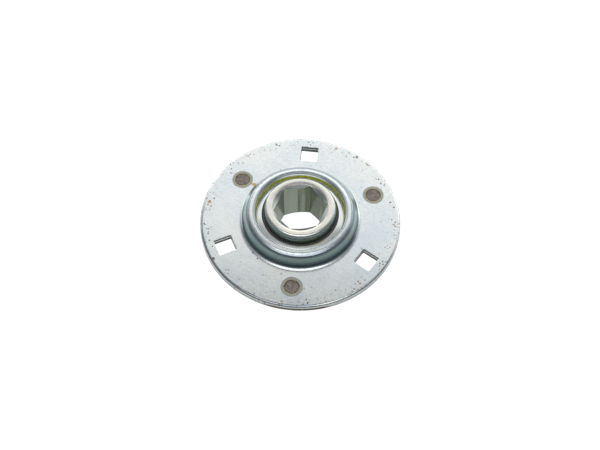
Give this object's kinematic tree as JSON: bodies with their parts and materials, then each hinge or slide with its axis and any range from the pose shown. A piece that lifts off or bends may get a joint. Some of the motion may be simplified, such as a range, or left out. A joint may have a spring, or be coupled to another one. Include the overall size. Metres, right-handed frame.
{
  "type": "flange mount bearing",
  "caption": "Hexagonal-bore sealed ball bearing clamped between two spot-welded round pressed-steel flangettes with square bolt holes.",
  "frame": {"origin": "on the bearing axis, in the seam plane where the two flangettes meet; also the centre of the whole part", "axes": "+Z along the bearing axis out of the upper flangette; +Y through the middle of the first square bolt hole"},
  "size_m": [0.0952, 0.0952, 0.0232],
  "materials": {
    "flangette_zinc": "bright zinc plate, faint rolling lines, light rust specks",
    "weld_scale": "heat-darkened spot weld scale, mottled brown-grey",
    "ring_steel": "ground bearing steel with a film of grease",
    "inner_ring_steel": "turned bearing steel with small brown specks",
    "ball_steel": "polished bearing steel",
    "cage_steel": "pressed mild steel, satin",
    "seal_cap_zinc": "satin zinc plated seal cap",
    "seal_rubber": "matt black nitrile rubber"
  },
  "bodies": {
    "housing": {"flangette_upper": "flangette_zinc", "flangette_lower": "flangette_zinc", "spot_welds": "weld_scale", "outer_ring": "ring_steel", "seal_outer_cap_upper": "seal_cap_zinc", "seal_lip_upper": "seal_rubber", "seal_inner_cap_upper": "seal_cap_zinc", "seal_outer_cap_lower": "seal_cap_zinc", "seal_lip_lower": "seal_rubber", "seal_inner_cap_lower": "seal_cap_zinc"},
    "inner_ring": {"inner_ring": "inner_ring_steel"},
    "cage": {"cage_half_upper": "cage_steel", "cage_half_lower": "cage_steel", "cage_rivets": "cage_steel"},
    "ball_1": {"ball_1": "ball_steel"},
    "ball_2": {"ball_2": "ball_steel"},
    "ball_3": {"ball_3": "ball_steel"},
    "ball_4": {"ball_4": "ball_steel"},
    "ball_5": {"ball_5": "ball_steel"},
    "ball_6": {"ball_6": "ball_steel"},
    "ball_7": {"ball_7": "ball_steel"},
    "ball_8": {"ball_8": "ball_steel"},
    "ball_9": {"ball_9": "ball_steel"}
  },
  "joints": [
    {"name": "inner_ring_spin", "type": "hinge", "parent": "housing", "child": "inner_ring", "pos_m": [0, 0, 0], "axis": [0, 0, 1], "continuous": true},
    {"name": "cage_spin", "type": "hinge", "parent": "housing", "child": "cage", "pos_m": [0, 0, 0], "axis": [0, 0, 1], "continuous": true},
    {"name": "ball_1_spin", "type": "hinge", "parent": "cage", "child": "ball_1", "pos_m": [0.0195, 0, 0], "axis": [0, 0, 1], "continuous": true},
    {"name": "ball_2_spin", "type": "hinge", "parent": "cage", "child": "ball_2", "pos_m": [0.01494, 0.01253, 0], "axis": [0, 0, 1], "continuous": true},
    {"name": "ball_3_spin", "type": "hinge", "parent": "cage", "child": "ball_3", "pos_m": [0.00339, 0.0192, 0], "axis": [0, 0, 1], "continuous": true},
    {"name": "ball_4_spin", "type": "hinge", "parent": "cage", "child": "ball_4", "pos_m": [-0.00975, 0.01689, 0], "axis": [0, 0, 1], "continuous": true},
    {"name": "ball_5_spin", "type": "hinge", "parent": "cage", "child": "ball_5", "pos_m": [-0.01832, 0.00667, 0], "axis": [0, 0, 1], "continuous": true},
    {"name": "ball_6_spin", "type": "hinge", "parent": "cage", "child": "ball_6", "pos_m": [-0.01832, -0.00667, 0], "axis": [0, 0, 1], "continuous": true},
    {"name": "ball_7_spin", "type": "hinge", "parent": "cage", "child": "ball_7", "pos_m": [-0.00975, -0.01689, 0], "axis": [0, 0, 1], "continuous": true},
    {"name": "ball_8_spin", "type": "hinge", "parent": "cage", "child": "ball_8", "pos_m": [0.00339, -0.0192, 0], "axis": [0, 0, 1], "continuous": true},
    {"name": "ball_9_spin", "type": "hinge", "parent": "cage", "child": "ball_9", "pos_m": [0.01494, -0.01253, 0], "axis": [0, 0, 1], "continuous": true}
  ],
  "couplings": [
    {"joint": "cage_spin", "follows": "inner_ring_spin", "ratio": 0.39823},
    {"joint": "ball_1_spin", "follows": "inner_ring_spin", "ratio": -2.3548},
    {"joint": "ball_2_spin", "follows": "inner_ring_spin", "ratio": -2.3548},
    {"joint": "ball_3_spin", "follows": "inner_ring_spin", "ratio": -2.3548},
    {"joint": "ball_4_spin", "follows": "inner_ring_spin", "ratio": -2.3548},
    {"joint": "ball_5_spin", "follows": "inner_ring_spin", "ratio": -2.3548},
    {"joint": "ball_6_spin", "follows": "inner_ring_spin", "ratio": -2.3548},
    {"joint": "ball_7_spin", "follows": "inner_ring_spin", "ratio": -2.3548},
    {"joint": "ball_8_spin", "follows": "inner_ring_spin", "ratio": -2.3548},
    {"joint": "ball_9_spin", "follows": "inner_ring_spin", "ratio": -2.3548}
  ]
}
